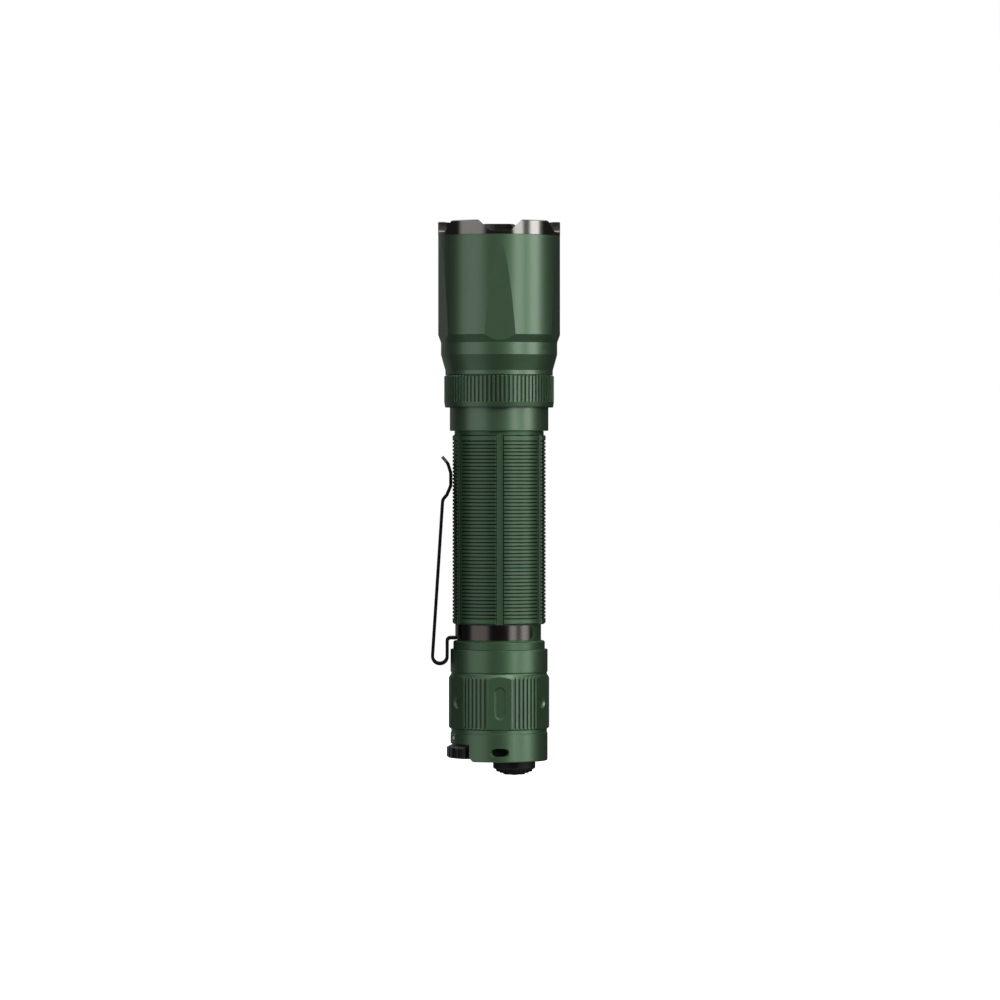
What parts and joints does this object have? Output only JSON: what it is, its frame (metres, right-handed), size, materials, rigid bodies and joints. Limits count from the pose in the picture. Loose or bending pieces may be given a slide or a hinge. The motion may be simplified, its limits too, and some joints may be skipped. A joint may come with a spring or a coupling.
{
  "type": "tactical flashlight",
  "caption": "Handheld tactical flashlight with toothed strike bezel, ribbed grip tube, sliding collar over its charging port, pocket clip, offset tail button and side mode lever.",
  "frame": {"origin": "on the light's axis, on the flat end face of the tail cap; the domed button stands 4.2 mm below it", "axes": "+Z along the light's axis towards the lens; -Y is the front with the lanyard slot; the pocket clip and the mode lever are on the -X side; the charging port faces +Y"},
  "size_m": [0.036, 0.034, 0.1545],
  "materials": {
    "green_anodised": "matt hard-anodised, fine bead-blasted grain",
    "dark_steel": "polished dark vapour-coated steel",
    "clip_steel": "satin dark coated spring steel",
    "black_rubber": "matt moulded rubber",
    "black_metal": "satin black anodised",
    "seal_rubber": "smooth seal rubber",
    "clear_glass": "polished, coated",
    "reflector_mirror": "vacuum-plated aluminium",
    "white_plastic": "moulded",
    "black_plastic": "moulded",
    "phosphor": "phosphor layer",
    "circuit_board": "solder-masked laminate",
    "copper_board": "bare copper core",
    "gold_contact": "plated",
    "brass": "machined",
    "steel": "plain",
    "cell_core": "plated can",
    "cell_wrap": "shrink film",
    "wire_insulation": "silicone"
  },
  "bodies": {
    "light_body": {"battery_tube": "green_anodised", "neck_housing": "green_anodised", "head_shell": "green_anodised", "strike_bezel": "dark_steel", "lens": "clear_glass", "lens_gasket": "seal_rubber", "reflector": "reflector_mirror", "centering_ring": "white_plastic", "led_emitter": "white_plastic", "led_die": "phosphor", "led_board": "copper_board", "led_board_screws": "steel", "led_wires": "wire_insulation", "driver_board": "circuit_board", "driver_inductor": "black_plastic", "driver_chips": "black_plastic", "board_pins": "gold_contact", "contact_board": "circuit_board", "driver_retaining_ring": "brass", "head_spring": "gold_contact", "usb_shell": "steel", "usb_tongue": "black_plastic", "head_o_ring": "seal_rubber", "sleeve_o_rings": "seal_rubber", "tail_o_ring": "seal_rubber", "cell_can": "cell_core", "cell_wrap": "cell_wrap", "cell_insulator": "white_plastic", "cell_button": "steel"},
    "tail_cap": {"tail_cap": "green_anodised", "click_switch": "black_plastic", "switch_carrier": "black_plastic", "switch_board": "circuit_board", "switch_retaining_ring": "brass", "tail_spring": "gold_contact", "detent_ball": "steel", "detent_spring": "steel", "button_spring": "steel"},
    "tail_button": {"tail_button": "black_rubber", "switch_plunger": "black_plastic"},
    "mode_lever": {"mode_lever": "black_metal", "selector_ring": "black_metal"},
    "charge_sleeve": {"charge_sleeve": "green_anodised"},
    "pocket_clip": {"pocket_clip": "clip_steel"}
  },
  "joints": [
    {"name": "tail_cap_removal", "type": "slide", "parent": "light_body", "child": "tail_cap", "axis": [0, 0, -1], "range_m": [0, 0.025]},
    {"name": "tail_button_press", "type": "slide", "parent": "tail_cap", "child": "tail_button", "axis": [0, 0, 1], "range_m": [0, 0.0015], "stiffness_N_per_m": 2500, "springref_m": -0.0012, "deforming": ["button_spring"]},
    {"name": "mode_lever_turn", "type": "hinge", "parent": "tail_cap", "child": "mode_lever", "pos_m": [0, 0, 0.0025], "axis": [0, 0, -1], "range_deg": [0, 36]},
    {"name": "charge_sleeve_slide", "type": "slide", "parent": "light_body", "child": "charge_sleeve", "axis": [0, 0, -1], "range_m": [0, 0.0063]},
    {"name": "pocket_clip_swivel", "type": "hinge", "parent": "light_body", "child": "pocket_clip", "pos_m": [0, 0, 0.0359], "axis": [0, 0, 1], "continuous": true}
  ]
}
